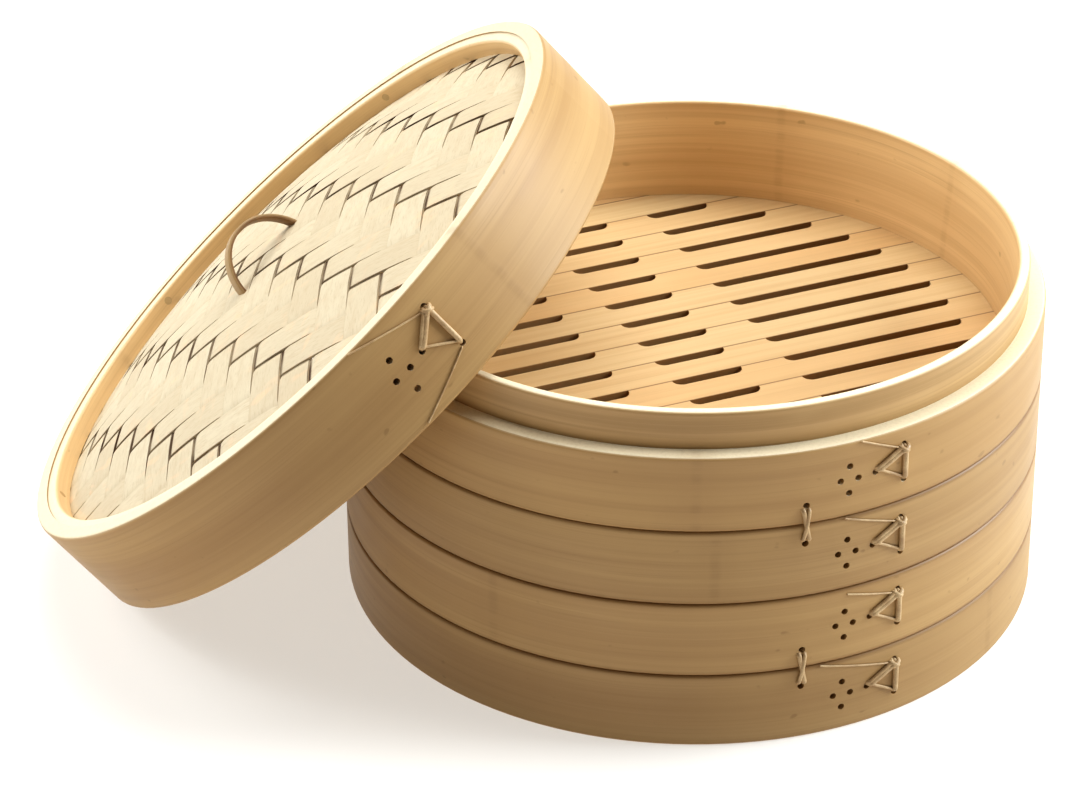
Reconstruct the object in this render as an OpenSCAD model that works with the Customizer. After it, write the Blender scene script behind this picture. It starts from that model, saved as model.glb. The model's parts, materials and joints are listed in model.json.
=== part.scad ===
// Two-tier round bamboo steamer with a woven lid that leans on the stack.
// Millimetres, +Z up. The origin is the centre of the ring the stack stands on.

/* [Tiers] */
// Outside diameter of the two tiers
tier_d = 254; // [200:1:320]
// Height of one outer hoop; each tier has two
hoop_h = 29; // [22:1:40]
// Thickness of an outer hoop
hoop_wall = 5.8; // [4:0.1:8]
// Thickness of the inner hoop at its lip
lip_wall = 4; // [3:0.1:6]
// Height of the lip above the outer hoops
lip_h = 14; // [10:0.5:18]
// How much thinner the lip is shaved, all round, to enter the tier or lid above
lip_clearance = 0.5; // [0.3:0.1:1.5]
// Extra thickness of the inner hoop at the floor
root_extra = 3.4; // [0:0.1:5]
// Space left above the lip of the tier below
lip_headroom = 1; // [0.5:0.1:3]
// Gap that keeps stacked hoops apart
seat_gap = 0.1; // [0.05:0.05:0.5]
// Rounding of the hoops' outer edges
edge_r = 1.3; // [0.5:0.1:1.8]

/* [Floor] */
// Height of the floor's top above the foot of its tier
floor_h = 33.6; // [31:0.1:38]
// Thickness of a slat
slat_t = 4; // [3:0.1:6]
// Width of a slat
slat_w = 15.1; // [13:0.1:18]
// Sideways shift of the joint between the two middle slats
slat_shift = -3.2; // [-5:0.1:5]
// Direction of the slats, from the X axis
slat_angle = 26.8; // [0:0.1:90]
// Width of a steam slot
slot_w = 4; // [2.5:0.1:6]
// Length of the slots in the middle column
slot_mid = 27; // [20:1:40]
// Length of slat left whole over a cross bar
slot_rest = 17; // [14:1:24]
// Bare end of a slat, from the wall to the first slot
slot_end = 14; // [10:1:20]
// Shift of the middle column along the slats
column_shift = -6.2; // [-8:0.1:8]
// Gap between a slat's end and the wall
slat_clearance = 0.1; // [0.05:0.05:0.5]
// Thickness of the ledge ring under the slats
ledge_wall = 4; // [3:0.1:6]
// Height of the ledge ring
ledge_h = 7; // [5:0.5:8]
// Width of a cross bar
bar_w = 10; // [8:0.5:13]
// Height of a cross bar
bar_h = 8; // [6:0.5:9]
// Diameter of the bamboo pins
pin_d = 3; // [2:0.1:4]
// How far a pin reaches into a cross bar
pin_in_bar = 10; // [6:0.5:16]
// Slack round a pin in its hole
pin_clearance = 0.05; // [0.02:0.01:0.2]

/* [Lid] */
// How much wider the lid is than the tiers
lid_extra = 0; // [-2:0.5:6]
// Height of the lid's ring
lid_h = 38.5; // [32:0.5:50]
// Thickness of the lid's outer hoop
lid_wall = 5.8; // [4:0.1:8]
// Thickness of the two hoops that clamp the weave
clamp_wall = 4.2; // [3:0.1:6]
// Height of the weave's edge above the lid's foot
weave_h = 29; // [26:0.5:34]
// Rise of the weave from its edge to its middle
weave_rise = 17.4; // [8:0.1:22]
// Thickness of a woven strip
strip_t = 1; // [0.6:0.1:1.4]
// Width that one top strip takes
warp_pitch = 14.1; // [9:0.1:18]
// Width that one under strip takes
weft_pitch = 13.1; // [9:0.1:18]
// Turn of the weave in the lid
weave_turn = -6.8; // [-15:0.1:15]
// Distance from the lid's middle to a joint between top strips
warp_joint = -4.7; // [-8:0.1:8]
// Distance from the lid's middle to a joint between under strips
weft_joint = 5.2; // [-8:0.1:8]
// Gap between neighbouring strips
strip_gap = 0.6; // [0.3:0.1:1.5]
// Width that the clamp hoops hold of the weave's edge
weave_grip = 3; // [2:0.1:4]
// Span of the carrying loop
loop_span = 33.5; // [24:0.5:44]
// Height of the carrying loop
loop_h = 15; // [12:0.5:22]
// Thickness of the carrying loop
loop_t = 1.6; // [1.2:0.1:2.5]
// Width of the carrying loop's cane
loop_w = 3; // [2:0.1:5]
// Direction of the carrying loop across the lid
loop_angle = 55.8; // [0:0.1:90]
// Lean of the carrying loop
loop_lean = 20; // [0:1:30]

/* [Lean] */
// Tilt of the lid as it leans on the stack
lid_tilt = 41.9; // [38:0.1:46]
// Gap between the stack's rim and the inside of the lid's foot, where the rim enters it
lean_gap = 2; // [1:0.1:4]
// How far the stack's rim may reach into the lid above the weave's edge
lean_reach = 4.2; // [2:0.1:6]
// Height of the leaning lid's lowest edge above the surface
lid_lift = 0.1; // [0:0.05:1]

/* [Lacing] */
// Diameter of a lacing hole
hole_d = 2.4; // [1.8:0.1:3]
// Diameter of the lacing cane
cane_d = 1.6; // [1:0.1:2]
// Where the hoops' laps are tied, round from the X axis
lap_angle = -63; // [-180:1:180]
// Where the two outer hoops of a tier are stitched together
stitch_angle = -70; // [-180:1:180]

/* [Hidden] */
$fn = 96;
// Overlap that keeps cutting solids clear of the faces they cut
cut = 1;
tier_r = tier_d / 2;
tier_h = 2 * hoop_h;
// Inside of the outer hoops, which is the outside of the inner hoop
bore_r = tier_r - hoop_wall;
lip_r = bore_r - lip_clearance;
rim_r = lip_r - lip_wall;
root_r = rim_r - root_extra;
inner_foot = lip_h + lip_headroom;
inner_top = tier_h + lip_h;
upper_z = tier_h + seat_gap;
slat_z = floor_h - slat_t;
slat_end_r = root_r - slat_clearance;
slat_n = 15;
// The first slat's edge, so that the middle joint stays at slat_shift
slat_start = slat_shift - slat_w * floor(slat_n / 2);
ledge_r = root_r - ledge_wall;
// Middle of each cross bar, along the slats
bar_offset = slot_mid / 2 + slot_rest / 2;
bar_places = [column_shift - bar_offset, column_shift + bar_offset];
bar_z = slat_z - bar_h;
pin_hole_r = pin_d / 2 + pin_clearance;

lid_r = tier_r + lid_extra / 2;
lid_bore = lid_r - lid_wall;
lid_rim = lid_bore - clamp_wall;
// Foot of the lower clamp hoop, which rests on the lip when the lid is on
clamp_foot = lip_h + seat_gap;
// The weave is a cap of a sphere through its edge and its raised middle
weave_r = lid_rim + weave_grip;
sphere_r = (weave_r * weave_r + weave_rise * weave_rise) / (2 * weave_rise);
sphere_z = weave_h + weave_rise - sphere_r;
// The upper clamp hoop stops a little below the lid's edge
clamp_top = lid_h - 0.6;
lid_foot_z = (lid_r - edge_r) * sin(lid_tilt) + edge_r * (1 - cos(lid_tilt)) + lid_lift;
// Rise of the stack's rim above the middle of the lid's foot
lean_rise = upper_z + inner_top - lid_foot_z;
// Where the foot's plane crosses the rim's, from the middle of the foot, level and up the slope
lean_level = lean_rise / tan(lid_tilt);
lean_slope = lean_rise / sin(lid_tilt);
// The foot's middle stands far enough out for the rim to enter the foot and to stop under the weave
out_by_foot = lean_level
  + sqrt(max(0, lean_slope * lean_slope + lip_r * lip_r - pow(lid_bore - lean_gap, 2)));
out_by_weave = lip_r + (lean_rise * cos(lid_tilt) - weave_h - lean_reach) / sin(lid_tilt);
lid_out = max(out_by_foot, out_by_weave);

// Points of a rounded corner, from angle a0 to a1
function corner(x, y, r, a0, a1) =
  [for (i = [0 : 5]) let (a = a0 + (a1 - a0) * i / 5) [x + r * cos(a), y + r * sin(a)]];

// A hoop with rounded outer edges and square inner edges, standing on z = 0
module hoop(r_in, r_out, h) {
  rotate_extrude($fn = 180)
    polygon(concat([[r_in, 0]],
      corner(r_out - edge_r, edge_r, edge_r, -90, 0),
      corner(r_out - edge_r, h - edge_r, edge_r, 0, 90),
      [[r_in, h]]));
}

// Where the lacing enters: [degrees from the lap, height as a share of the hoop]
tie_diamond = [[-1.5, 0.5], [0, 0.68], [1.5, 0.5], [0, 0.32]];
tie_triangle = [[9.5, 0.78], [4.5, 0.52], [9.8, 0.3]];

module at_rim(angle, z) {
  rotate([0, 0, angle]) translate([0, 0, z]) rotate([0, 90, 0]) children();
}

// Holes for the lacing through a wall between two radii
module lap_holes(r_in, r_out, z, h) {
  for (p = concat(tie_diamond, tie_triangle))
    at_rim(lap_angle + p[0], z + p[1] * h)
      translate([0, 0, r_in - cut]) cylinder(d = hole_d, h = r_out - r_in + 2 * cut);
}

// A straight run of cane between two places on a drum of radius r, just clear of it
module strand(r, a0, z0, a1, z1) {
  over = r + cane_d / 2 + 0.15;
  p0 = [over * cos(a0), over * sin(a0), z0];
  p1 = [over * cos(a1), over * sin(a1), z1];
  d = p1 - p0;
  len = norm(d);
  translate(p0) rotate([0, acos(d[2] / len), atan2(d[1], d[0])])
    translate([0, 0, cane_d / 2 + 0.1])
      cylinder(d = cane_d, h = len - cane_d - 0.2, $fn = 24);
}

// The turn of cane that comes out of a hole, from a depth to a height above the drum
module turn(r, angle, z, depth, height) {
  at_rim(angle, z) translate([0, 0, r - depth]) cylinder(d = cane_d, h = depth + height, $fn = 24);
}

// The cane triangle that ties one hoop's lap, and the ends of cane in its other holes
module lap_lacing(r, z, h) {
  color("tan") {
    for (i = [0 : 2]) {
      p = tie_triangle[i];
      q = tie_triangle[(i + 1) % 3];
      strand(r, lap_angle + p[0], z + p[1] * h, lap_angle + q[0], z + q[1] * h);
      turn(r, lap_angle + p[0], z + p[1] * h, 4, cane_d + 0.2);
    }
    for (p = tie_diamond) turn(r, lap_angle + p[0], z + p[1] * h, 4, -0.5);
  }
}

// ---- One tier, standing on z = 0 ----

module inner_hoop() {
  lip_edge = min(edge_r, lip_wall / 3);
  color("sandybrown") difference() {
    rotate_extrude($fn = 180)
      polygon(concat(
        [[root_r, inner_foot], [bore_r, inner_foot], [bore_r, tier_h], [lip_r, tier_h]],
        corner(lip_r - lip_edge, inner_top - lip_edge, lip_edge, 0, 90),
        corner(rim_r + lip_edge, inner_top - lip_edge, lip_edge, 90, 180),
        [[root_r, floor_h]]));
    pin_holes();
  }
}

module top_hoop() {
  color("burlywood") difference() {
    translate([0, 0, hoop_h]) hoop(bore_r, tier_r, hoop_h);
    lap_holes(bore_r, tier_r, hoop_h, hoop_h);
    stitch_holes();
  }
}

module bottom_hoop() {
  color("burlywood") difference() {
    hoop(bore_r, tier_r, hoop_h);
    lap_holes(bore_r, tier_r, 0, hoop_h);
    stitch_holes();
  }
}

// The stitch crosses the seam between a tier's two outer hoops
stitch_reach = 7.5;
module stitch_holes() {
  for (side = [-1, 1])
    at_rim(stitch_angle, hoop_h + side * stitch_reach)
      translate([0, 0, bore_r - cut]) cylinder(d = hole_d, h = hoop_wall + 2 * cut);
}

module hoop_stitch() {
  color("tan") {
    strand(tier_r, stitch_angle, hoop_h - stitch_reach, stitch_angle, hoop_h + stitch_reach);
    for (side = [-1, 1])
      turn(tier_r, stitch_angle, hoop_h + side * stitch_reach, 4, cane_d + 0.2);
  }
}

module floor_ledge() {
  color("tan") difference() {
    translate([0, 0, slat_z - ledge_h]) cylinder(r = root_r, h = ledge_h, $fn = 180);
    translate([0, 0, slat_z - ledge_h - cut])
      cylinder(r = ledge_r, h = ledge_h + 2 * cut, $fn = 180);
    pin_holes();
  }
}

// A bar across the slats, cut to the round inside the ledge
module cross_bar(place) {
  color("peru") rotate([0, 0, slat_angle]) difference() {
    intersection() {
      translate([place - bar_w / 2, -tier_r, bar_z]) cube([bar_w, tier_d, bar_h]);
      cylinder(r = ledge_r - slat_clearance, h = tier_h, $fn = 180);
    }
    rotate([0, 0, -slat_angle]) pin_holes();
  }
}

// Pins run along each bar, through the inner hoop and the ledge, into the bar's end
module along_pins(extra) {
  rotate([0, 0, slat_angle])
    for (place = bar_places, side = [0, 180])
      rotate([0, 0, side]) {
        x = side == 0 ? place : -place;
        outer = sqrt(pow(bore_r, 2) - pow(abs(x) + pin_d, 2)) - 0.3;
        inner = sqrt(pow(ledge_r, 2) - pow(x, 2)) - pin_in_bar;
        translate([x, inner - extra, bar_z + bar_h / 2]) rotate([-90, 0, 0])
          cylinder(r = pin_d / 2 + (extra > 0 ? pin_clearance : 0),
                   h = outer - inner + (extra > 0 ? extra + hoop_wall / 2 : 0), $fn = 32);
      }
}

module pin_holes() along_pins(0.5);
module floor_pins() color("burlywood") along_pins(0);

// A slot has one straight side and rounded ends, as a curved gouge leaves it
module slot(x0, x1) {
  end_r = slot_w * 0.9;
  translate([0, 0, floor_h - slat_t - cut])
    linear_extrude(slat_t + 2 * cut) {
      translate([x0 + end_r, -cut]) square([x1 - x0 - 2 * end_r, slot_w + cut]);
      translate([x0, -cut]) square([x1 - x0, slot_w - end_r + cut]);
      for (x = [x0 + end_r, x1 - end_r])
        translate([x, slot_w - end_r]) circle(end_r, $fn = 32);
    }
}

// Half the length of the floor at a distance y from its middle line
function half_chord(y, r) = abs(y) < r ? sqrt(r * r - y * y) : 0;

// One slat: a plank cut to the round, with slots down the edge nearest the back
module slat(i) {
  y0 = slat_start + i * slat_w;
  y_low = i == 0 ? -tier_r : y0;
  y_high = i == slat_n - 1 ? tier_r : y0 + slat_w;
  mid_a = column_shift - slot_mid / 2;
  mid_b = column_shift + slot_mid / 2;
  reach = half_chord(y0, slat_end_r) - slot_end;
  color(i % 3 == 0 ? "burlywood" : (i % 3 == 1 ? "wheat" : "tan"))
  rotate([0, 0, slat_angle]) mirror([0, 1, 0]) difference() {
    intersection() {
      translate([-tier_r, y_low, slat_z]) cube([tier_d, y_high - y_low, slat_t]);
      cylinder(r = slat_end_r, h = tier_h, $fn = 180);
    }
    if (i > 0) translate([0, y0, 0]) {
      slot(mid_a, mid_b);
      if (reach > mid_b + slot_rest + 3 * slot_w) slot(mid_b + slot_rest, reach);
      if (reach > 3 * slot_w + slot_rest - mid_a) slot(-reach, mid_a - slot_rest);
    }
  }
}

module upper() translate([0, 0, upper_z]) children();

// ---- The lid, standing on z = 0 before it is leaned ----

module leaned() translate([-lid_out, 0, lid_foot_z]) rotate([0, -lid_tilt, 0]) children();

module lid_outer_hoop() {
  color("burlywood") leaned() difference() {
    hoop(lid_bore, lid_r, lid_h);
    lap_holes(lid_bore, lid_r, 0, lid_h);
    clamp_pin_set(pin_hole_r, 0.5);
  }
}

// The ball whose top the weave follows, grown by an amount
module ball(grow) {
  translate([0, 0, sphere_z]) sphere(r = sphere_r + grow, $fn = 180);
}

module lid_upper_clamp_hoop() {
  edge = min(edge_r, clamp_wall / 3);
  color("peru") leaned() difference() {
    rotate_extrude($fn = 180)
      polygon(concat([[lid_rim, weave_h - cut], [lid_bore, weave_h - cut], [lid_bore, clamp_top]],
        corner(lid_rim + edge, clamp_top - edge, edge, 90, 180)));
    ball(strip_t);
    clamp_pin_set(pin_hole_r, 0.5);
  }
}

module lid_lower_clamp_hoop() {
  color("tan") leaned() difference() {
    intersection() {
      rotate_extrude($fn = 180)
        translate([lid_rim, clamp_foot]) square([clamp_wall, weave_h + cut - clamp_foot]);
      ball(-strip_t);
    }
    clamp_pin_set(pin_hole_r, 0.5);
  }
}

// Pins through each clamp hoop into the outer hoop
module clamp_pin_set(r, extra) {
  upper_pin = (weave_h + clamp_top) / 2 + strip_t;
  lower_pin = (clamp_foot + weave_h) / 2 - strip_t;
  for (k = [0 : 5], z = [upper_pin, lower_pin])
    at_rim(k * 60 + (z == upper_pin ? 15 : 45), z)
      translate([0, 0, lid_rim - (extra > 0 ? cut : 0)])
        cylinder(r = r, h = clamp_wall + lid_wall / 2 + extra + (extra > 0 ? cut : 0), $fn = 32);
}

module lid_clamp_pins() color("burlywood") leaned() clamp_pin_set(pin_d / 2, 0);

// Strips side by side along Y, between two distances from the ball, to the clamped edge.
// A strip that the clamp hoops would hide is left out
module strips(pitch, joint, low, high) {
  half_n = ceil(weave_r / pitch) + 1;
  intersection() {
    difference() {
      ball(high);
      ball(low);
    }
    cylinder(r = weave_r, h = 2 * lid_h, $fn = 180);
    union() for (i = [-half_n : half_n]) {
      x0 = joint + i * pitch + strip_gap / 2;
      if (x0 < lid_rim && x0 + pitch - strip_gap > -lid_rim)
        translate([x0, -weave_r, 0]) cube([pitch - strip_gap, 2 * weave_r, 2 * lid_h]);
    }
  }
}

module lid_top_strips() {
  color("cornsilk") leaned() rotate([0, 0, weave_turn])
    strips(warp_pitch, warp_joint, 0, strip_t);
}
module lid_under_strips() {
  color("wheat") leaned() rotate([0, 0, weave_turn + 90])
    strips(weft_pitch, weft_joint, -strip_t, 0);
}

module lid_lacing() leaned() lap_lacing(lid_r, 0, lid_h);

// A cane arch whose two feet stand on the weave
module lid_loop() {
  inner_r = loop_span / 2 - loop_t;
  color("sienna") leaned() difference() {
    translate([0, 0, weave_h + weave_rise + loop_h - loop_span / 2])
      rotate([0, 0, loop_angle]) rotate([90 - loop_lean, 0, 0])
        translate([0, 0, -loop_w / 2]) difference() {
          cylinder(r = loop_span / 2, h = loop_w);
          translate([0, 0, -cut]) cylinder(r = inner_r, h = loop_w + 2 * cut);
        }
    ball(strip_t);
  }
}

inner_hoop();  // lower_inner_hoop
top_hoop();  // lower_top_hoop
bottom_hoop();  // lower_bottom_hoop
floor_ledge();  // lower_floor_ledge
cross_bar(bar_places[0]);  // lower_cross_bar_left
cross_bar(bar_places[1]);  // lower_cross_bar_right
floor_pins();  // lower_floor_pins
lap_lacing(tier_r, hoop_h, hoop_h);  // lower_top_lacing
lap_lacing(tier_r, 0, hoop_h);  // lower_bottom_lacing
hoop_stitch();  // lower_hoop_stitch
slat(0);  // lower_slat_01
slat(1);  // lower_slat_02
slat(2);  // lower_slat_03
slat(3);  // lower_slat_04
slat(4);  // lower_slat_05
slat(5);  // lower_slat_06
slat(6);  // lower_slat_07
slat(7);  // lower_slat_08
slat(8);  // lower_slat_09
slat(9);  // lower_slat_10
slat(10);  // lower_slat_11
slat(11);  // lower_slat_12
slat(12);  // lower_slat_13
slat(13);  // lower_slat_14
slat(14);  // lower_slat_15
upper() inner_hoop();  // upper_inner_hoop
upper() top_hoop();  // upper_top_hoop
upper() bottom_hoop();  // upper_bottom_hoop
upper() floor_ledge();  // upper_floor_ledge
upper() cross_bar(bar_places[0]);  // upper_cross_bar_left
upper() cross_bar(bar_places[1]);  // upper_cross_bar_right
upper() floor_pins();  // upper_floor_pins
upper() lap_lacing(tier_r, hoop_h, hoop_h);  // upper_top_lacing
upper() lap_lacing(tier_r, 0, hoop_h);  // upper_bottom_lacing
upper() hoop_stitch();  // upper_hoop_stitch
upper() slat(0);  // upper_slat_01
upper() slat(1);  // upper_slat_02
upper() slat(2);  // upper_slat_03
upper() slat(3);  // upper_slat_04
upper() slat(4);  // upper_slat_05
upper() slat(5);  // upper_slat_06
upper() slat(6);  // upper_slat_07
upper() slat(7);  // upper_slat_08
upper() slat(8);  // upper_slat_09
upper() slat(9);  // upper_slat_10
upper() slat(10);  // upper_slat_11
upper() slat(11);  // upper_slat_12
upper() slat(12);  // upper_slat_13
upper() slat(13);  // upper_slat_14
upper() slat(14);  // upper_slat_15
lid_outer_hoop();
lid_upper_clamp_hoop();
lid_lower_clamp_hoop();
lid_clamp_pins();
lid_top_strips();
lid_under_strips();
lid_lacing();
lid_loop();
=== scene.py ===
"""Looks of a two-tier bamboo steamer whose woven lid leans over the stack."""

import json
import math
import random

import bpy
from mathutils import Matrix, Vector


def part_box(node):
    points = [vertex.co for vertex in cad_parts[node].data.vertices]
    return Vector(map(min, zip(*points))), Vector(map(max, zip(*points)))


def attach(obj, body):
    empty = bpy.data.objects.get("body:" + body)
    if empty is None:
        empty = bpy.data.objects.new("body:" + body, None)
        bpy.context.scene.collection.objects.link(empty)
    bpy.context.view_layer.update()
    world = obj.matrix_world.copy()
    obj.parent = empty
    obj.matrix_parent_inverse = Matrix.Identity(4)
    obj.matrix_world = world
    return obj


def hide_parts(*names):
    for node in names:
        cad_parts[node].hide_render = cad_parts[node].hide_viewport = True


bl_info = {
    "name": "Bamboo Steamer",
    "version": (1, 0, 0),
    "blender": (4, 5, 0),
    "location": "View3D > Sidebar > Steamer",
    "description": "Weaves the lid, laces the hoops and finishes the bamboo of a steamer",
    "category": "Object",
}

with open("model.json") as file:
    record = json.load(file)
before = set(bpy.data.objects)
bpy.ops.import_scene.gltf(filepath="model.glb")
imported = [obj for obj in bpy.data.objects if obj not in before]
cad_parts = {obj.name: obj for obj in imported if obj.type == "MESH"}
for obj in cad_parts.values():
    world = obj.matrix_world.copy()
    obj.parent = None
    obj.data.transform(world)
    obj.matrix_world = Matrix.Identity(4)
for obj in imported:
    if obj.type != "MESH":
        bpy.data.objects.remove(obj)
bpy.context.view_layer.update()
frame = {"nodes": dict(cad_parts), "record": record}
NODES = frame["nodes"]
JOINTS = {joint["name"]: joint for joint in frame["record"]["behaviour"]["joints"]}

MM = 0.001
TIERS = ("lower", "upper")
SLAT_COUNT = 15
# Where one joint between floor slats lies, across the slats
SLAT_JOINT = 3.2 * MM
# Colours of the planed top edges, and of the painted shade in the weave's gaps and where its
# strips dive
HOOP_RIM = (0.74, 0.63, 0.43)
INNER_RIM = (0.78, 0.67, 0.46)
WEAVE_SHADE = (0.07, 0.03, 0.008)
# Half of the range that a strip's texture takes across its width
STRIP_HALF = 0.48
# Weave: share of a cell where a strip lies level, columns of a strip's grid, and how much
# narrower a strip is at each edge where it dives and along its open side
WAVE_FLAT = 0.3
STRIP_COLUMNS = 9
WAIST = 0.5 * MM
WEDGE = 0.6 * MM


def box_centre(node):
    """The middle of a node's box."""
    low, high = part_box(node)
    return (Vector(low) + Vector(high)) / 2


def box_size(node):
    """The size of a node's box."""
    low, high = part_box(node)
    return Vector(high) - Vector(low)


LID_AXIS = Vector(JOINTS["lid_lift"]["axis"]).normalized()
LID_TILT = math.atan2(-LID_AXIS.x, LID_AXIS.z)
LID_RADIUS = box_size("lid_outer_hoop").y / 2
TIER_RADIUS = box_size("lower_top_hoop").y / 2
HOOP_HEIGHT = box_size("lower_top_hoop").z


class SteamerSizes(bpy.types.PropertyGroup):
    """Sizes of the woven, laced and bent pieces."""

    lid_ring: bpy.props.FloatProperty(
        name="Lid ring", description="Height of the lid's ring",
        default=38.5 * MM, min=0.02, max=0.08, subtype="DISTANCE", unit="LENGTH")
    weave_radius: bpy.props.FloatProperty(
        name="Weave radius", description="Radius to the clamped edge of the weave",
        default=LID_RADIUS - 7 * MM, min=0.05, max=0.2, subtype="DISTANCE", unit="LENGTH")
    weave_edge: bpy.props.FloatProperty(
        name="Weave edge", description="Height of the weave's edge above the lid's foot",
        default=29 * MM, min=0.01, max=0.06, subtype="DISTANCE", unit="LENGTH")
    weave_rise: bpy.props.FloatProperty(
        name="Weave rise", description="Rise of the weave from its edge to its middle",
        default=17.4 * MM, min=0.002, max=0.04, subtype="DISTANCE", unit="LENGTH")
    warp_pitch: bpy.props.FloatProperty(
        name="Warp pitch", description="Width that one warp strip takes",
        default=14.1 * MM, min=0.004, max=0.03, subtype="DISTANCE", unit="LENGTH")
    weft_pitch: bpy.props.FloatProperty(
        name="Weft pitch", description="Width that one weft strip takes",
        default=13.1 * MM, min=0.004, max=0.03, subtype="DISTANCE", unit="LENGTH")
    weave_turn: bpy.props.FloatProperty(
        name="Weave turn", description="Turn of the weave in the lid",
        default=math.radians(-6.8), subtype="ANGLE", unit="ROTATION")
    warp_joint: bpy.props.FloatProperty(
        name="Warp joint", description="Place of a joint between warp strips",
        default=-4.7 * MM, min=-0.01, max=0.01, subtype="DISTANCE", unit="LENGTH")
    weft_joint: bpy.props.FloatProperty(
        name="Weft joint", description="Place of a joint between weft strips",
        default=5.2 * MM, min=-0.01, max=0.01, subtype="DISTANCE", unit="LENGTH")
    strip_thickness: bpy.props.FloatProperty(
        name="Strip thickness", description="Thickness of a woven strip",
        default=0.85 * MM, min=0.0003, max=0.002, subtype="DISTANCE", unit="LENGTH")
    strip_gap: bpy.props.FloatProperty(
        name="Strip gap", description="Gap between neighbouring strips",
        default=0.3 * MM, min=0.0001, max=0.003, subtype="DISTANCE", unit="LENGTH")
    strip_wave: bpy.props.FloatProperty(
        name="Strip wave", description="How far a strip rises and dips where it crosses others",
        default=0.5 * MM, min=0.0001, max=0.002, subtype="DISTANCE", unit="LENGTH")
    cane: bpy.props.FloatProperty(
        name="Cane", description="Width of the lacing cane",
        default=2.0 * MM, min=0.0005, max=0.003, subtype="DISTANCE", unit="LENGTH")
    loop_span: bpy.props.FloatProperty(
        name="Loop span", description="Distance between the feet of the carrying loop",
        default=33.5 * MM, min=0.02, max=0.05, subtype="DISTANCE", unit="LENGTH")
    loop_rise: bpy.props.FloatProperty(
        name="Loop rise", description="Height of the carrying loop above the weave",
        default=15.6 * MM, min=0.005, max=0.03, subtype="DISTANCE", unit="LENGTH")
    loop_turn: bpy.props.FloatProperty(
        name="Loop direction", description="Direction of the carrying loop across the lid",
        default=math.radians(55.8), subtype="ANGLE", unit="ROTATION")
    slat_turn: bpy.props.FloatProperty(
        name="Slat direction", description="Direction of the floor slats",
        default=math.radians(26.8), subtype="ANGLE", unit="ROTATION")
    slat_width: bpy.props.FloatProperty(
        name="Slat width", description="Width of a floor slat",
        default=15.1 * MM, min=0.008, max=0.03, subtype="DISTANCE", unit="LENGTH")


class SteamerColours(bpy.types.PropertyGroup):
    """Colours of the bamboo and the cane."""

    hoop: bpy.props.FloatVectorProperty(
        name="Hoops", description="Colour of the bent hoops",
        default=(0.415, 0.25, 0.098), size=3, min=0, max=1, subtype="COLOR")
    inner: bpy.props.FloatVectorProperty(
        name="Inner hoops", description="Colour of the inner hoops",
        default=(0.80, 0.55, 0.275), size=3, min=0, max=1, subtype="COLOR")
    slat: bpy.props.FloatVectorProperty(
        name="Slats", description="Colour of the floor slats",
        default=(0.63, 0.42, 0.2), size=3, min=0, max=1, subtype="COLOR")
    strip: bpy.props.FloatVectorProperty(
        name="Woven strips", description="Colour of the woven strips",
        default=(0.585, 0.49, 0.33), size=3, min=0, max=1, subtype="COLOR")
    cane: bpy.props.FloatVectorProperty(
        name="Lacing cane", description="Colour of the lacing cane",
        default=(0.50, 0.335, 0.17), size=3, min=0, max=1, subtype="COLOR")
    loop: bpy.props.FloatVectorProperty(
        name="Carrying loop", description="Colour of the carrying loop",
        default=(0.25, 0.13, 0.045), size=3, min=0, max=1, subtype="COLOR")


def sizes():
    """The scene's size settings."""
    return bpy.context.scene.steamer_sizes


def colours():
    """The scene's colour settings."""
    return bpy.context.scene.steamer_colours


def lid_matrix():
    """Takes a point from the lid's own frame, whose foot is at z = 0, to its leaning place."""
    foot = box_centre("lid_outer_hoop") - LID_AXIS * sizes().lid_ring / 2
    return Matrix.Translation(foot) @ Matrix.Rotation(-LID_TILT, 4, "Y")


# ---- Shader maths ----

class Term:
    """A socket that takes part in expressions. Each operation adds a Math node."""

    def __init__(self, finish, socket):
        self.finish = finish
        self.socket = socket

    def math(self, operation, *others):
        inputs = dict(enumerate((self,) + others))
        return self.finish.add("ShaderNodeMath", {"operation": operation}, inputs)

    def __add__(self, other):
        return self.math("ADD", other)

    __radd__ = __add__

    def __mul__(self, other):
        return self.math("MULTIPLY", other)

    __rmul__ = __mul__

    def __sub__(self, other):
        return self.math("SUBTRACT", other)

    def __rsub__(self, other):
        return self.finish.add("ShaderNodeMath", {"operation": "SUBTRACT"}, {0: other, 1: self})

    def __truediv__(self, other):
        return self.math("DIVIDE", other)

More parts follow.
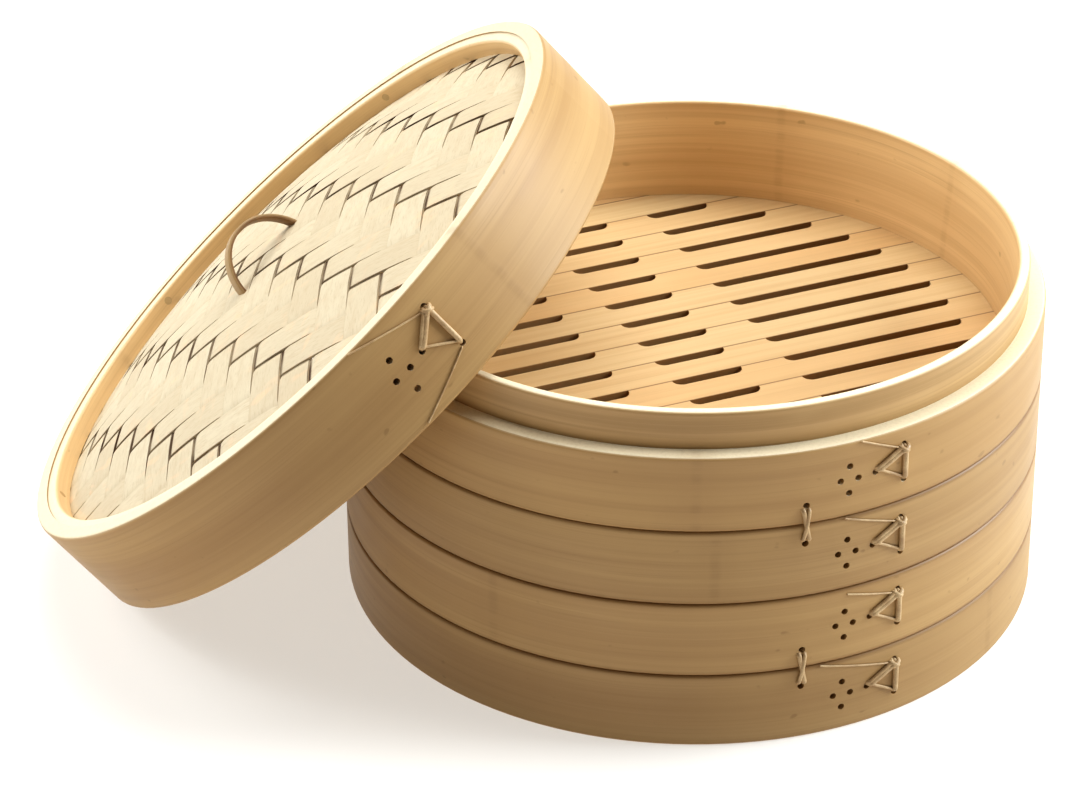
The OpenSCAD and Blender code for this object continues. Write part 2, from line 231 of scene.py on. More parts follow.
class Finish:
    """A material under construction."""

    def __init__(self, name):
        self.material = bpy.data.materials.new(name)
        self.material.use_nodes = True
        self.nodes = self.material.node_tree.nodes
        self.links = self.material.node_tree.links
        self.nodes.clear()
        self.output = self.nodes.new("ShaderNodeOutputMaterial")

    def put(self, socket, value):
        """Links a term or sets a number or colour on a socket."""
        if isinstance(value, Term):
            self.links.new(value.socket, socket)
        else:
            socket.default_value = value

    def add(self, kind, settings=None, inputs=None, output=0):
        """Adds a node: its settings first, then its sockets, and returns one output as a term."""
        node = self.nodes.new(kind)
        for key, value in (settings or {}).items():
            setattr(node, key, value)
        for key, value in (inputs or {}).items():
            self.put(node.inputs[key], value)
        return Term(self, node.outputs[output])

    def mix(self, factor, first, second):
        """Mixes two colours."""
        first = first if isinstance(first, Term) else (*first, 1)
        second = second if isinstance(second, Term) else (*second, 1)
        settings = {"data_type": "RGBA", "blend_type": "MIX"}
        return self.add("ShaderNodeMix", settings, {0: factor, 6: first, 7: second}, output=2)

    def spread(self, value, low, high, to_low=0.0, to_high=1.0):
        """Maps a range of values to another, with a smooth run between."""
        return self.add("ShaderNodeMapRange", {"interpolation_type": "SMOOTHSTEP"},
                        {0: value, 1: low, 2: high, 3: to_low, 4: to_high})

    def noise(self, vector, scale, detail=2.0, rough=0.5, distortion=0.0):
        """Fractal noise between 0 and 1."""
        return self.add("ShaderNodeTexNoise", {},
                        {"Vector": vector, "Scale": scale, "Detail": detail,
                         "Roughness": rough, "Distortion": distortion})

    def stretch(self, vector, scale):
        """Scales a vector by an amount along each axis."""
        return self.add("ShaderNodeVectorMath", {"operation": "MULTIPLY"}, {0: vector, 1: scale})

    def split(self, vector):
        """The three parts of a vector."""
        first = self.add("ShaderNodeSeparateXYZ", {}, {0: vector})
        outputs = first.socket.node.outputs
        return [Term(self, outputs[index]) for index in range(3)]

    def close(self, colour, rough, height=None, strength=0.3, depth=0.0004, coat=0.0, glow=0.0):
        """Ends the material in one shader, with an optional bump."""
        shader = self.nodes.new("ShaderNodeBsdfPrincipled")
        self.put(shader.inputs["Base Color"], colour)
        self.put(shader.inputs["Roughness"], rough)
        shader.inputs["Specular IOR Level"].default_value = 0.35
        shader.inputs["Emission Color"].default_value = (1, 0.96, 0.9, 1)
        shader.inputs["Emission Strength"].default_value = glow
        shader.inputs["Coat Weight"].default_value = coat
        shader.inputs["Coat Roughness"].default_value = 0.35
        if height is not None:
            bump = self.add("ShaderNodeBump", {},
                            {"Strength": strength, "Distance": depth, "Height": height})
            self.links.new(bump.socket, shader.inputs["Normal"])
        self.links.new(shader.outputs[0], self.output.inputs["Surface"])
        return self.material


def shade(colour, factor, warm=0.0):
    """A colour made darker or lighter, and warmer by moving red up and blue down."""
    red, green, blue = colour[:3]
    return (min(1, red * factor * (1 + warm)), min(1, green * factor),
            min(1, blue * factor * (1 - warm)))


def object_space(finish, lid=False, turn=0.0):
    """Object coordinates, carried into the lid's frame or turned about Z."""
    coords = finish.add("ShaderNodeTexCoord", {}, {}, output=3)
    if lid:
        back = lid_matrix().inverted()
        inputs = {"Vector": coords, "Location": back.to_translation(),
                  "Rotation": back.to_euler()}
        return finish.add("ShaderNodeMapping", {"vector_type": "POINT"}, inputs)
    if turn:
        return finish.add("ShaderNodeMapping", {"vector_type": "POINT"},
                          {"Vector": coords, "Rotation": (0, 0, turn)})
    return coords


def hoop_finish(name, colour, lid=False, knuckles=(), shine=0.5, rim=None, seams=(),
                outside=None):
    """Bent bamboo: long fibres round the hoop, bands of tone and the marks of its knuckles."""
    finish = Finish(name)
    place = object_space(finish, lid=lid)
    x, y, z = finish.split(place)
    fibre = finish.noise(finish.stretch(place, (9, 9, 1500)), 1.0, 3.0, 0.6)
    streak = finish.noise(finish.stretch(place, (5, 5, 330)), 1.0, 3.0, 0.55)
    band = finish.noise(finish.stretch(place, (3.2, 3.2, 70)), 1.0, 2.0, 0.5)
    cloud = finish.noise(finish.stretch(place, (11, 11, 22)), 1.0, 3.0, 0.6)
    tone = finish.mix(finish.spread(band, 0.3, 0.7), shade(colour, 0.9, 0.02),
                      shade(colour, 1.1, -0.03))
    if outside:
        # the skin side, which faces away from the middle, is greener and duller
        radius = (x * x + y * y).math("SQRT")
        skin = finish.spread(radius, outside[1] - 1.5 * MM, outside[1] - 0.5 * MM)
        tone = finish.mix(skin, tone, outside[0])
    for seam in seams:
        # painted shade: darker and warmer near the joint between two hoops
        away = (z - seam).math("ABSOLUTE")
        seam_shade = finish.spread(away, 0.3 * MM, 2.2 * MM, 0.75, 0)
        tone = finish.mix(seam_shade, tone, shade(colour, 0.42, 0.25))
    tone = finish.mix(finish.spread(streak, 0.36, 0.7, 0, 0.5), tone, shade(colour, 0.72, 0.08))
    tone = finish.mix(finish.spread(fibre, 0.5, 0.8, 0, 0.45), tone, shade(colour, 0.62, 0.08))
    tone = finish.mix(finish.spread(cloud, 0.45, 0.8, 0, 0.35), tone, shade(colour, 1.18, -0.06))
    speck = finish.noise(finish.stretch(place, (160, 160, 260)), 1.0, 1.0, 0.4)
    tone = finish.mix(finish.spread(speck, 0.74, 0.82, 0, 0.5), tone, shade(colour, 0.5, 0.1))
    if rim:
        # the planed top edge and the shaved outside of a lip are paler than the skin
        facing = finish.add("ShaderNodeTexCoord", {}, {}, output=1)
        axis = LID_AXIS if lid else Vector((0, 0, 1))
        upward = finish.add("ShaderNodeVectorMath", {"operation": "DOT_PRODUCT"},
                            {0: facing, 1: axis}, output=1)
        pores = finish.noise(finish.stretch(place, (900, 900, 60)), 1.0, 2.0)
        edge = finish.mix(finish.spread(pores, 0.4, 0.75, 0, 0.4), rim, shade(rim, 0.78, 0.05))
        tone = finish.mix(finish.spread(upward, 0.62, 0.95), tone, edge)
    height = fibre * 0.35 + streak * 0.6
    if knuckles:
        angle = y.math("ARCTAN2", x)
        wander = finish.noise(finish.stretch(place, (0, 0, 90)), 1.0, 2.0)
        angle = angle + (wander - 0.5) * 0.02
        for mark in knuckles:
            away = (angle - math.radians(mark)).math("ABSOLUTE")
            ridge = finish.spread(away, 0.004, 0.022, 1, 0)
            halo = finish.spread(away, 0.02, 0.09, 1, 0)
            tone = finish.mix(halo * 0.14, tone, shade(colour, 0.8, 0.06))
            tone = finish.mix(ridge * (finish.spread(streak, 0.35, 0.6, 0.04, 0.24)), tone,
                              shade(colour, 0.55, 0.1))
            height = height + ridge * 0.3
    rough = finish.spread(cloud, 0.3, 0.7, shine - 0.07, shine + 0.1)
    return finish.close(tone, rough, height, 0.35, 0.00025, coat=0.08)


def slat_finish(name, colour, rows=True):
    """Planed bamboo: fibres along the slat and a tone of its own for each slat."""
    finish = Finish(name)
    place = object_space(finish, turn=-sizes().slat_turn)
    x, y, z = finish.split(place)
    fibre = finish.noise(finish.stretch(place, (14, 1300, 500)), 1.0, 3.0, 0.6)
    streak = finish.noise(finish.stretch(place, (7, 330, 120)), 1.0, 3.0, 0.55)
    cloud = finish.noise(finish.stretch(place, (14, 40, 30)), 1.0, 2.0, 0.6)
    row = ((y - SLAT_JOINT) / sizes().slat_width).math("FLOOR")
    level = (z / (2 * HOOP_HEIGHT)).math("FLOOR")
    own = finish.add("ShaderNodeTexWhiteNoise", {"noise_dimensions": "1D"},
                     {"W": row + level * 31.0})
    tone = finish.mix(own, shade(colour, 0.88, 0.10), shade(colour, 1.12, -0.10))
    tone = finish.mix(finish.spread(streak, 0.36, 0.7, 0, 0.5), tone, shade(colour, 0.78, 0.08))
    tone = finish.mix(finish.spread(fibre, 0.5, 0.8, 0, 0.4), tone, shade(colour, 0.66, 0.1))
    tone = finish.mix(finish.spread(cloud, 0.5, 0.8, 0, 0.4), tone, shade(colour, 1.15, -0.05))
    if rows:
        # the joint between two slats shows as a thin dark line
        share = ((y - SLAT_JOINT) / sizes().slat_width).math("FRACT")
        away = 0.5 - (share - 0.5).math("ABSOLUTE")
        line = finish.spread(away, 0.012, 0.034, 0.9, 0)
        tone = finish.mix(line, tone, shade(colour, 0.3, 0.25))
    height = fibre * 0.4 + streak * 0.6
    rough = finish.spread(cloud, 0.3, 0.7, 0.46, 0.62)
    return finish.close(tone, rough, height, 0.35, 0.00025, coat=0.05)


def strip_finish(name, colour):
    """Thin split strips: pale, with fine fibres along each and a tone of its own."""
    finish = Finish(name)
    coords = finish.add("ShaderNodeTexCoord", {}, {}, output=2)
    along, across, unused = finish.split(coords)
    number = across.math("FLOOR")
    own = finish.add("ShaderNodeTexWhiteNoise", {"noise_dimensions": "1D"}, {"W": number})
    fibre = finish.noise(finish.stretch(coords, (25, 22, 0)), 1.0, 4.0, 0.65)
    streak = finish.noise(finish.stretch(coords, (9, 5, 0)), 1.0, 3.0, 0.55)
    blush = finish.noise(finish.stretch(coords, (16, 0.9, 0)), 1.0, 2.0, 0.5)
    tone = finish.mix(own, shade(colour, 0.93, 0.02), shade(colour, 1.07, -0.02))
    tone = finish.mix(finish.spread(streak, 0.4, 0.72, 0, 0.5), tone, shade(colour, 0.84, 0.06))
    tone = finish.mix(finish.spread(fibre, 0.48, 0.75, 0, 0.6), tone, shade(colour, 0.66, 0.09))
    tone = finish.mix(finish.spread(blush, 0.56, 0.8, 0, 0.5), tone, (0.80, 0.52, 0.30))
    edge = (across.math("FRACT") - 0.5).math("ABSOLUTE")
    dip_shade = finish.add("ShaderNodeAttribute", {"attribute_name": "dip_shade"}, {}, output=2)
    gap_shade = finish.add("ShaderNodeAttribute", {"attribute_name": "gap_shade"}, {}, output=2)
    # painted shade along the two edges of each strip
    tone = finish.mix(finish.spread(edge, 0.45, 0.5, 0, 0.2), tone, shade(colour, 0.6, 0.08))
    # painted shade: the lid's outside is darkened where its joints gape and where a strip dives
    # under the next
    normal = finish.add("ShaderNodeTexCoord", {}, {}, output=1)
    facing = finish.add("ShaderNodeVectorMath", {"operation": "DOT_PRODUCT"},
                        {0: normal, 1: tuple(LID_AXIS)}, output=1)
    place = finish.add("ShaderNodeTexCoord", {}, {}, output=3)
    uneven = finish.spread(finish.noise(place, 60.0, 1.0), 0.35, 0.6, 0.55, 1)
    joint = finish.spread(gap_shade * 0.095 + edge * (1 / STRIP_HALF), 1.0, 1.035)
    dip_shade_mask = finish.spread(dip_shade, 0.22, 0.46)
    dark = (joint + dip_shade_mask).math("MINIMUM", 1.0) * uneven * finish.spread(facing, -0.1, 0.1)
    tone = finish.mix(dark, tone, WEAVE_SHADE)
    height = fibre * 0.6 + streak * 0.5
    return finish.close(tone, 0.62, height, 0.35, 0.0002)


def cane_finish(name, colour, skin=None):
    """Split cane: a satin skin with fine fibres along it, darker where it is worn."""
    finish = Finish(name)
    coords = finish.add("ShaderNodeTexCoord", {}, {}, output=2)
    place = finish.add("ShaderNodeTexCoord", {}, {}, output=3)
    fibre = finish.noise(finish.stretch(coords, (20, 14, 0)), 1.0, 3.0, 0.6)
    patch = finish.noise(place, 170, 3.0, 0.6)
    tone = finish.mix(finish.spread(patch, 0.35, 0.65), shade(colour, 0.78, 0.05),
                      shade(colour, 1.2, -0.05))
    tone = finish.mix(finish.spread(fibre, 0.45, 0.75, 0, 0.6), tone, shade(colour, 0.55, 0.1))
    if skin:
        # the skin side of a split cane is paler than its core
        outer = finish.add("ShaderNodeAttribute", {"attribute_name": "skin"}, {}, output=2)
        tone = finish.mix(finish.spread(outer, 0.35, 0.8, 0, 0.8), tone, skin)
    rough = finish.spread(patch, 0.3, 0.7, 0.4, 0.6)
    return finish.close(tone, rough, fibre, 0.5, 0.0002, coat=0.1)


# ---- Modelling helpers ----

def fresh():
    """Leaves edit mode and selects nothing."""
    if bpy.context.object and bpy.context.object.mode != "OBJECT":
        bpy.ops.object.mode_set(mode="OBJECT")
    bpy.ops.object.select_all(action="DESELECT")


def only(piece):
    """Makes one object the selected and active one."""
    fresh()
    piece.select_set(True)
    bpy.context.view_layer.objects.active = piece


def apply_modifiers(piece):
    """Applies every modifier of a piece, in order."""
    only(piece)
    for modifier in list(piece.modifiers):
        bpy.ops.object.modifier_apply(modifier=modifier.name)


def settle(piece, place=None):
    """Moves a piece to its place and leaves the place in its mesh."""
    if place is not None:
        piece.matrix_world = place @ piece.matrix_world
    only(piece)
    bpy.ops.object.transform_apply(location=True, rotation=True, scale=True)


def join(pieces, name):
    """Joins pieces into one named piece."""
    fresh()
    for piece in pieces:
        piece.select_set(True)
    bpy.context.view_layer.objects.active = pieces[0]
    if len(pieces) > 1:
        bpy.ops.object.join()
    piece = bpy.context.object
    piece.name = name
    piece.data.name = name
    return piece


def smooth(piece, angle=35):
    """Smooth shading, with edges sharper than an angle kept."""
    only(piece)
    bpy.ops.object.shade_smooth_by_angle(angle=math.radians(angle))


def finish_piece(piece, material, body, replaced):
    """Gives a piece its material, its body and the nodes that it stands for."""
    piece.data.materials.clear()
    piece.data.materials.append(material)
    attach(piece, body)
    if replaced:
        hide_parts(*replaced)


def dress(nodes, material):
    """Gives CAD nodes a material."""
    for node in nodes:
        piece = NODES[node]
        piece.data.materials.clear()
        piece.data.materials.append(material)


def on_drum(radius, angle, height):
    """A point on an upright drum, from its angle in degrees and its height."""
    turn = math.radians(angle)
    return Vector((radius * math.cos(turn), radius * math.sin(turn), height))


def cane_run(points, radius):
    """A run of round cane through points, as a mesh."""
    fresh()
    bpy.ops.curve.primitive_bezier_curve_add(location=(0, 0, 0))
    run = bpy.context.object
    curve = run.data
    curve.splines.clear()
    spline = curve.splines.new("NURBS")
    spline.points.add(len(points) - 1)
    for point, place in zip(spline.points, points):
        point.co = (*place, 1)
    spline.order_u = 3
    spline.use_endpoint_u = True
    spline.resolution_u = 4
    curve.dimensions = "3D"
    curve.bevel_depth = radius
    curve.bevel_resolution = 3
    curve.use_fill_caps = True
    only(run)
    bpy.ops.object.convert(target="MESH")
    return bpy.context.object


# ---- Weave ----

def dome_point(x, y):
    """The dome's height above the lid's foot, and the direction square to the dome."""
    settings = sizes()
    edge, rise = settings.weave_radius, settings.weave_rise
    ball = (edge * edge + rise * rise) / (2 * rise)
    level = math.sqrt(ball * ball - x * x - y * y)
    height = settings.weave_edge + rise - ball + level
    return height, Vector((x, y, level)) / ball


def wave(distance, joint, pitch, passes_over):
    """Where a strip lies between under (-1) and over (1), at a distance along it."""
    place = (distance - joint) / pitch - 0.5
    cell = math.floor(place)
    part = min(1.0, max(0.0, (place - cell - WAVE_FLAT) / (1 - 2 * WAVE_FLAT)))
    part = part * part * (3 - 2 * part)
    near = 1 if passes_over(cell) else -1
    far = 1 if passes_over(cell + 1) else -1
    return near + (far - near) * part


def from_open_end(distance, joint, pitch, passes_over, forward):
    """How far a spot is from its float's open joint (0) on the way to the closed one (1)."""
    place = (distance - joint) / pitch
    cell = math.floor(place)
    over = passes_over(cell)
    share = (place - cell + (0 if passes_over(cell + 1) == over else 1)) / 2
    return 1 - share if over == forward else share


def weave_strip(start, width, joint, pitch, passes_over, across, number):
    """One strip: a grid sheet bent onto the dome, over and under the strips that it crosses.

    start and width say where it lies across its length, joint and pitch where it meets the strips
    that it crosses, and across is True where its length lies along the weave's first direction.
    """
    settings = sizes()
    reach = settings.weave_radius - 0.5 * MM
    low = max(start, -reach + 1 * MM)
    high = min(start + width, reach - 1 * MM)
    longest = math.sqrt(reach * reach - min(low * low, high * high) * (low * high > 0))
    rows = max(12, int(2 * longest / (1.5 * MM)))
    fresh()
    bpy.ops.mesh.primitive_grid_add(x_subdivisions=rows, y_subdivisions=STRIP_COLUMNS, size=2,
                                    location=(0, 0, 0))
    strip = bpy.context.object
    turn = Matrix.Rotation(settings.weave_turn, 2)
    mesh = strip.data
    flat = [vertex.co.copy() for vertex in mesh.vertices]
    dips = mesh.attributes.new("dip_shade", "FLOAT", "POINT").data
    gap_shades = mesh.attributes.new("gap_shade", "FLOAT", "POINT").data
    open_side = -1 if across else 1
    for vertex, spot, dip_shade, gap_shade in zip(mesh.vertices, flat, dips, gap_shades):
        side = low + (high - low) * (spot.y + 1) / 2
        along = spot.x * math.sqrt(reach * reach - side * side)
        level = wave(along, joint, pitch, passes_over)
        share = from_open_end(along, joint, pitch, passes_over, not across)
        # the strips crowd one way: joints on the far side are closed, on the near side open
        tight = min(1.0, max(0.0, (share - 0.4) / 0.25))
        # painted shade where the strip dives under, less towards its closed joints
        dip_shade.value = (0.5 - 0.5 * level) * (1 - 0.85 * tight)
        gape = min(1.0, 0.5 + 1.5 * share) * (1 - share) ** 0.8
        # painted shade in the gaping joint along the strip's open side
        gap_shade.value = gape if spot.y * open_side > 0 else 0.0
        # pulled tight, a strip is narrower where it dives, and it tapers along its open side
        side -= spot.y * WAIST * (1 - level * level) * (1 - tight)
        side -= open_side * WEDGE * gape * max(0.0, spot.y * open_side - 0.5) * 2
        x, y = turn @ Vector((along, side) if across else (side, along))
        height, up = dome_point(x, y)
        # a split strip is a little thinner towards its two edges
        crown = 0.1 * MM * (1 - spot.y * spot.y)
        lift = settings.strip_wave * level + crown
        vertex.co = Vector((x, y, height)) + up * lift
    layer = mesh.uv_layers.active.data
    for loop in mesh.loops:
        spot = flat[loop.vertex_index]
        layer[loop.index].uv = (spot.x * longest / 0.1, number + 0.02 + STRIP_HALF * (spot.y + 1))
    if across:
        only(strip)
        bpy.ops.object.mode_set(mode="EDIT")
        bpy.ops.mesh.select_all(action="SELECT")
        bpy.ops.mesh.normals_make_consistent(inside=False)
        bpy.ops.object.mode_set(mode="OBJECT")
    if mesh.polygons[0].normal.z < 0:
        only(strip)
        bpy.ops.object.mode_set(mode="EDIT")
        bpy.ops.mesh.select_all(action="SELECT")
        bpy.ops.mesh.flip_normals()
        bpy.ops.object.mode_set(mode="OBJECT")
    thick = strip.modifiers.new("Thickness", "SOLIDIFY")
    thick.thickness = settings.strip_thickness
    thick.offset = 0
    apply_modifiers(strip)
    return strip


def weave_layer(name, joint, pitch, other_joint, other_pitch, across, seed):
    """All strips of one direction, woven with those of the other."""
    settings = sizes()
    rng = random.Random(seed)
    rim = settings.weave_radius - 3 * MM
    count = math.ceil(settings.weave_radius / pitch) + 1
    strips = []
    for index in range(-count, count + 1):
        gap = settings.strip_gap * rng.uniform(0.75, 1.35)
        shift = rng.uniform(-0.12, 0.12) * MM
        start = joint + index * pitch + gap / 2 + shift
        if start > rim or start + pitch - gap < -rim:
            continue

        def passes_over(cell, index=index):
            """Over two and under two, one step on with each strip; wefts do what warps don't."""
            return ((index + cell) % 4 in (1, 2)) != across

        strips.append(weave_strip(start, pitch - gap, other_joint, other_pitch, passes_over,
                                  across, index + count + (40 if across else 0)))
    return join(strips, name)


# ---- Lacing and loop ----

LAP_ANGLE = -63
STITCH_ANGLE = -70
STITCH_REACH = 7.5 * MM
# Holes of a hoop's lap: degrees round from the lap, and share of the hoop's height
TIE_TOP, TIE_LEFT, TIE_FOOT = (9.5, 0.78), (4.5, 0.52), (9.8, 0.30)


def cane_over(drum, start, end, radius, bulge=0.0, dive=1.6 * MM):
    """Cane pulled tight over a drum, from the hole at start to the hole at end."""
    count = 9
    over = drum + radius * 0.8

    def point(level, share):
        """A point on the run's way, past its ends where share is under 0 or over 1."""
        return on_drum(level, start[0] + (end[0] - start[0]) * share,
                       start[1] + (end[1] - start[1]) * share)

    points = [point(drum - dive, -0.05 if dive else 0)]
    for step in range(count):
        share = step / (count - 1)
        points.append(point(over + bulge * math.sin(math.pi * share), share))
    if dive:
        points.append(point(drum - dive, 1.05))
    return cane_run(points, radius)


def lap_ties(drum, foot, height, tail):
    """The cane triangle, its knot and its loose tail, on one hoop."""
    thick = sizes().cane / 2

    def spot(tie, turn=0.0, rise=0.0):
        return LAP_ANGLE + tie[0] + turn, foot + tie[1] * height + rise

    # the cane leans on the inner side of each hole and leaves the outer side open
    top = spot(TIE_TOP, -0.1, -1.5 * MM)
    left = spot(TIE_LEFT, 0.5, 0.8 * MM)
    low = spot(TIE_FOOT, -0.1, 1.2 * MM)
    runs = [
        cane_over(drum, top, left, thick),
        cane_over(drum, spot(TIE_TOP, -0.45, -0.6 * MM), spot(TIE_LEFT, 0.25, 1.5 * MM),
                  thick * 0.8),
        cane_over(drum, spot(TIE_TOP, 0.2, -1.2 * MM), low, thick),
        cane_over(drum, left, low, thick * 0.5),
        # the knot is two short turns that cross just under the top hole
        cane_over(drum, spot(TIE_TOP, -0.9, -2.2 * MM), spot(TIE_TOP, 0.7, -0.9 * MM),
                  thick * 0.85, bulge=0.9 * MM, dive=0.3 * MM),
        cane_over(drum, spot(TIE_TOP, -0.75, -0.7 * MM), spot(TIE_TOP, 0.7, -2.4 * MM),
                  thick * 0.75, bulge=1.2 * MM, dive=0.3 * MM),
    ]
    for tie, end_turn, end_rise, width in tail:
        runs.append(cane_over(drum, spot(tie, -0.6, -1.0 * MM),
                              (LAP_ANGLE + end_turn, foot + end_rise), width, dive=0))
    return runs


def hoop_stitch(foot):
    """Two runs of cane that cross over the seam between a tier's outer hoops."""
    seam = foot + HOOP_HEIGHT
    runs = []
    for turn, width, bulge in ((-0.5, 0.42, 0), (0.45, 0.36, 0.7 * MM)):
        start = (STITCH_ANGLE + turn, seam + STITCH_REACH - 1.7 * MM)
        end = (STITCH_ANGLE - turn, seam - STITCH_REACH + 1.7 * MM)
        runs.append(cane_over(TIER_RADIUS, start, end, sizes().cane * width, bulge=bulge))
    return runs


def carrying_loop():
    """A flat cane spun into an arch, its feet pushed down through the weave."""
    settings = sizes()
    radius = settings.loop_span / 2
    fresh()
    bpy.ops.mesh.primitive_plane_add(size=1, location=(radius, 0, 0), rotation=(0, 0, 0))
    loop = bpy.context.object
    loop.scale = (1.7 * MM, 4.2 * MM, 1)
    only(loop)
    bpy.ops.object.transform_apply(location=True, rotation=True, scale=True)
    bpy.ops.object.mode_set(mode="EDIT")
    bpy.ops.mesh.select_all(action="SELECT")
    bpy.ops.mesh.bevel(offset=0.35 * MM, segments=2, affect="VERTICES")
    bpy.ops.mesh.select_all(action="SELECT")
    # the spin turns the section about Y, from one foot over the top to the other
    bpy.ops.mesh.spin(steps=40, angle=-math.pi, center=(0, 0, 0), axis=(0, 1, 0))
    bpy.ops.mesh.select_all(action="SELECT")
    bpy.ops.mesh.remove_doubles(threshold=0.00001)
    bpy.ops.mesh.normals_make_consistent(inside=False)
    bpy.ops.object.mode_set(mode="OBJECT")
    over = 1 if sum(vertex.co.z for vertex in loop.data.vertices) > 0 else -1
    skins = loop.data.attributes.new("skin", "FLOAT", "POINT").data
    for vertex, skin in zip(loop.data.vertices, skins):
        skin.value = 1.0 if math.hypot(vertex.co.x, vertex.co.z) > radius else 0.0
        vertex.co.z *= over
        rise = vertex.co.z / radius
        # the legs lean in a little towards the top, and the feet reach through the weave
        vertex.co.x *= 1 + 0.08 * (1 - rise) - 0.1 * rise * (1 - rise)
        vertex.co.z = vertex.co.z * settings.loop_rise / radius
        if rise < 0.05:
            vertex.co.z -= 2.4 * MM
    top, unused = dome_point(0, 0)
    lean = Matrix.Rotation(math.radians(-14), 4, "X")
    turn = Matrix.Rotation(settings.loop_turn, 4, "Z")
    place = lid_matrix() @ Matrix.Translation((0, 0, top - 0.4 * MM)) @ turn @ lean
    settle(loop, place)
    loop.name = loop.data.name = "lid_carrying_loop"
    smooth(loop, 50)
    return loop


# ---- Operators ----

class STEAMER_OT_stage(bpy.types.Operator):
    """Set the pale floor, the soft lights and the camera"""
    bl_idname = "steamer.stage"
    bl_label = "Stage"

    def execute(self, context):
        fresh()
        bpy.ops.mesh.primitive_plane_add(size=14, location=(0, 0, 0))
        floor = context.object
        floor.name = "stage_floor"
        finish = Finish("pale_floor")
        place = object_space(finish)
        cloud = finish.noise(place, 1.5, 2.0)
        tone = finish.mix(cloud, (0.50, 0.485, 0.455), (0.53, 0.51, 0.475))
        floor.data.materials.append(finish.close(tone, 0.8, glow=0.5))

        world = bpy.data.worlds.new("soft_room")
        world.use_nodes = True
        background = world.node_tree.nodes["Background"]
        background.inputs["Color"].default_value = (1.0, 1.0, 1.0, 1)
        background.inputs["Strength"].default_value = 0.17
        context.scene.world = world
        context.scene.view_settings.view_transform = "Standard"
        context.scene.view_settings.look = "Medium High Contrast"

        self.light("top", (0.15, 0.75, 2.1), (0, 0, 0.1), 1.7, 46)
        self.light("side_left", (-1.9, 0.3, 1.3), (0, 0, 0.1), 1.2, 37, (0.95, 1.0, 1.06))
        self.light("side_right", (1.75, 0.35, 0.95), (0, 0, 0.08), 1.1, 54, (0.9, 1.0, 1.1))

        camera_data = bpy.data.cameras.new("camera")
        camera = bpy.data.objects.new("camera", camera_data)
        context.scene.collection.objects.link(camera)
        camera_data.lens = 128.1
        camera_data.sensor_width = 36
        camera_data.clip_start = 0.05
        right = Vector((0.9974, 0.0722, -0.0075))
        forward = Vector((-0.0662, 0.8617, -0.5032)).normalized()
        right = (right - forward * right.dot(forward)).normalized()
        up = right.cross(forward)
        turn = Matrix((right, up, -forward)).transposed().to_4x4()
        camera.matrix_world = Matrix.Translation((0.0386, -1.2195, 0.7731)) @ turn
        context.scene.camera = camera
        return {"FINISHED"}

    def light(self, name, place, target, size, power, colour=(1.0, 1.0, 1.0)):
        """A square soft light at a place, turned to a target."""
        data = bpy.data.lights.new(name, "AREA")
        data.color = colour
        data.size = size
        data.energy = power
        lamp = bpy.data.objects.new(name, data)
        bpy.context.scene.collection.objects.link(lamp)
        lamp.location = place
        aim = Vector(target) - Vector(place)
        lamp.rotation_euler = aim.to_track_quat("-Z", "Y").to_euler()


class STEAMER_OT_hoops(bpy.types.Operator):
    """Finish the bent hoops, the inner hoops and the frame under each floor"""
    bl_idname = "steamer.hoops"
    bl_label = "Hoops"

    def execute(self, context):
        tones = {"upper_top_hoop": 1.05, "upper_bottom_hoop": 0.94,
                 "lower_top_hoop": 1.0, "lower_bottom_hoop": 0.92}
        knuckles = {"upper_top_hoop": (-87, 40), "upper_bottom_hoop": (-84, 130),
                    "lower_top_hoop": (-120, 20), "lower_bottom_hoop": (-30, 95)}
        seams = [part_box(node)[0][2] for node in
                 ("lower_top_hoop", "upper_bottom_hoop", "upper_top_hoop")]
        for node, tone in tones.items():
            dress([node], hoop_finish(node + "_bamboo", shade(colours().hoop, tone),
                                      knuckles=knuckles[node], seams=seams,
                                      rim=HOOP_RIM if node == "upper_top_hoop" else None))
        dress(["lid_outer_hoop"], hoop_finish("lid_hoop_bamboo", colours().hoop, lid=True,
                                              knuckles=(-41, 70), rim=HOOP_RIM))
        skin = (shade(colours().hoop, 0.95), box_size("upper_inner_hoop").x / 2)
        dress([tier + "_inner_hoop" for tier in TIERS],
              hoop_finish("inner_hoop_bamboo", colours().inner, knuckles=(36, 75, 140),
                          rim=INNER_RIM, outside=skin))
        dress(["lid_upper_clamp_hoop", "lid_lower_clamp_hoop"],
              hoop_finish("clamp_hoop_bamboo", colours().inner, lid=True, knuckles=(10, 150),
                          rim=INNER_RIM))
        dress([tier + "_floor_ledge" for tier in TIERS],
              hoop_finish("ledge_bamboo", shade(colours().inner, 0.85), shine=0.6))
        return {"FINISHED"}


class STEAMER_OT_floors(bpy.types.Operator):
    """Finish the floor slats, the bars that carry them and the pins"""
    bl_idname = "steamer.floors"
    bl_label = "Floors"

    def execute(self, context):
        slats = ["%s_slat_%02d" % (tier, index + 1)
                 for tier in TIERS for index in range(SLAT_COUNT)]
        dress(slats, slat_finish("slat_bamboo", colours().slat))
        bars = [tier + side for tier in TIERS for side in ("_cross_bar_left", "_cross_bar_right")]
        dress(bars, slat_finish("bar_bamboo", shade(colours().slat, 0.8), rows=False))
        pins = [tier + "_floor_pins" for tier in TIERS] + ["lid_clamp_pins"]
        dress(pins, slat_finish("pin_bamboo", shade(colours().slat, 0.9), rows=False))
        return {"FINISHED"}


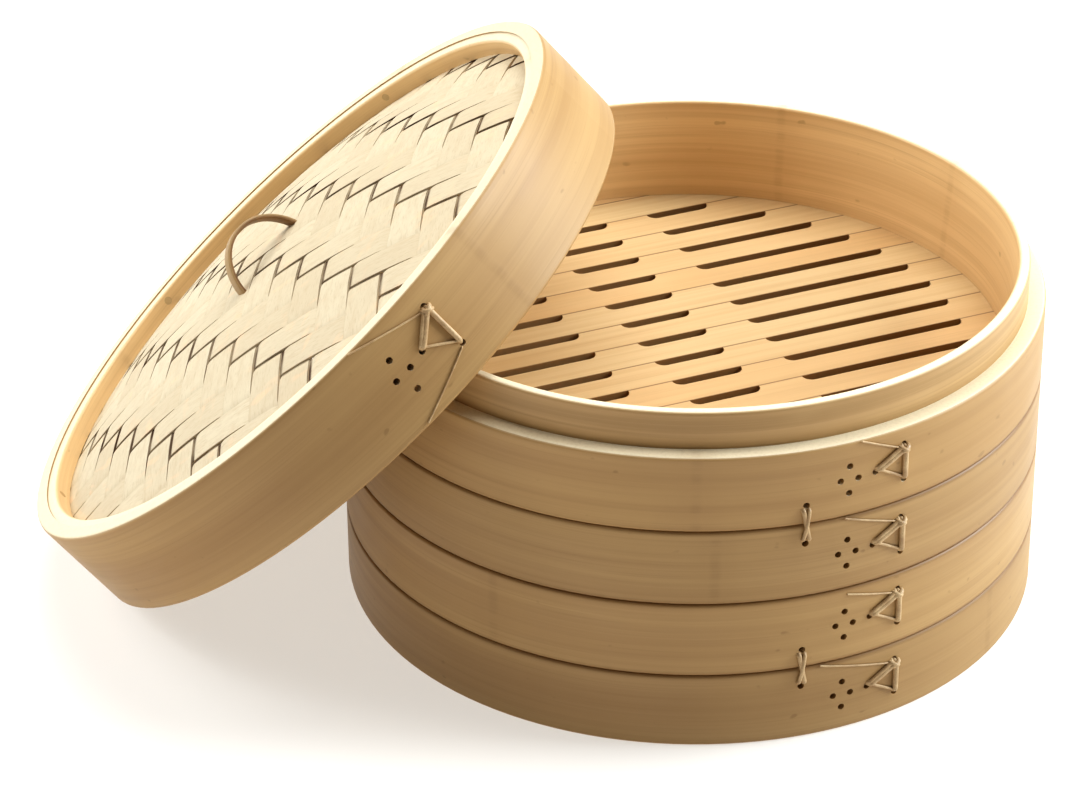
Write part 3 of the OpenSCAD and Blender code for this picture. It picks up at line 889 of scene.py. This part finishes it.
class STEAMER_OT_weave(bpy.types.Operator):
    """Weave the lid from two directions of split strips"""
    bl_idname = "steamer.weave"
    bl_label = "Lid weave"

    def execute(self, context):
        settings = sizes()
        material = strip_finish("woven_strip", colours().strip)
        warp = weave_layer("lid_weave_warp", settings.warp_joint, settings.warp_pitch,
                           settings.weft_joint, settings.weft_pitch, across=False, seed=5)
        weft = weave_layer("lid_weave_weft", settings.weft_joint, settings.weft_pitch,
                           settings.warp_joint, settings.warp_pitch, across=True, seed=8)
        for piece, node in ((warp, "lid_top_strips"), (weft, "lid_under_strips")):
            settle(piece, lid_matrix())
            smooth(piece, 40)
            finish_piece(piece, material, "lid", [node])
        return {"FINISHED"}


class STEAMER_OT_lacing(bpy.types.Operator):
    """Lace the laps of the hoops with cane and stitch each tier's two hoops together"""
    bl_idname = "steamer.lacing"
    bl_label = "Cane lacing"

    def execute(self, context):
        material = cane_finish("lacing_cane", colours().cane)
        thin = 0.34 * MM
        feet = {"lower": 0.0, "upper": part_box("upper_bottom_hoop")[0][2]}
        # where each tie's tail ends: degrees round from the lap, and height above the hoop's foot
        tails = {"lower_bottom": (-3.9, 28.6), "lower_top": (0.3, 26.8),
                 "upper_bottom": (-0.6, 28.6), "upper_top": (1.8, 28.6)}
        for tier, foot in feet.items():
            for place, level in (("bottom", foot), ("top", foot + HOOP_HEIGHT)):
                key = tier + "_" + place
                turn, rise = tails[key]
                runs = lap_ties(TIER_RADIUS, level, HOOP_HEIGHT,
                                [(TIE_TOP, turn, rise * MM, thin)])
                self.place(runs, key + "_lacing_cane", material, tier + "_tier",
                           key + "_lacing")
            self.place(hoop_stitch(foot), tier + "_stitch_cane", material, tier + "_tier",
                       tier + "_hoop_stitch")
        runs = lap_ties(LID_RADIUS, 0, sizes().lid_ring,
                        [(TIE_TOP, -3.7, 38.0 * MM, thin), (TIE_FOOT, -2.6, 1.2 * MM, thin)])
        self.place(runs, "lid_lacing_cane", material, "lid", "lid_lacing", lid_matrix())
        return {"FINISHED"}

    def place(self, runs, name, material, body, node, matrix=None):
        """Joins runs of cane into one piece at its place."""
        piece = join(runs, name)
        settle(piece, matrix)
        smooth(piece, 60)
        finish_piece(piece, material, body, [node])


class STEAMER_OT_loop(bpy.types.Operator):
    """Bend the carrying loop into the middle of the lid"""
    bl_idname = "steamer.loop"
    bl_label = "Carrying loop"

    def execute(self, context):
        loop = carrying_loop()
        material = cane_finish("loop_cane", colours().loop, skin=(0.40, 0.26, 0.11))
        finish_piece(loop, material, "lid", ["lid_loop"])
        return {"FINISHED"}


class STEAMER_PT_panel(bpy.types.Panel):
    """The steps that finish the steamer"""
    bl_idname = "STEAMER_PT_panel"
    bl_label = "Bamboo Steamer"
    bl_space_type = "VIEW_3D"
    bl_region_type = "UI"
    bl_category = "Steamer"

    def draw(self, context):
        for step in STEPS:
            self.layout.operator("steamer." + step)
        for settings in (context.scene.steamer_sizes, context.scene.steamer_colours):
            box = self.layout.box()
            for key in settings.__annotations__:
                box.prop(settings, key)


STEPS = ("stage", "hoops", "floors", "weave", "lacing", "loop")
CLASSES = (SteamerSizes, SteamerColours, STEAMER_OT_stage, STEAMER_OT_hoops, STEAMER_OT_floors,
           STEAMER_OT_weave, STEAMER_OT_lacing, STEAMER_OT_loop, STEAMER_PT_panel)


def register():
    for entry in CLASSES:
        bpy.utils.register_class(entry)
    bpy.types.Scene.steamer_sizes = bpy.props.PointerProperty(type=SteamerSizes)
    bpy.types.Scene.steamer_colours = bpy.props.PointerProperty(type=SteamerColours)


def unregister():
    del bpy.types.Scene.steamer_colours
    del bpy.types.Scene.steamer_sizes
    for entry in reversed(CLASSES):
        bpy.utils.unregister_class(entry)


def main():
    register()
    for step in STEPS:
        getattr(bpy.ops.steamer, step)()
    fresh()


if __name__ == "__main__":
    main()
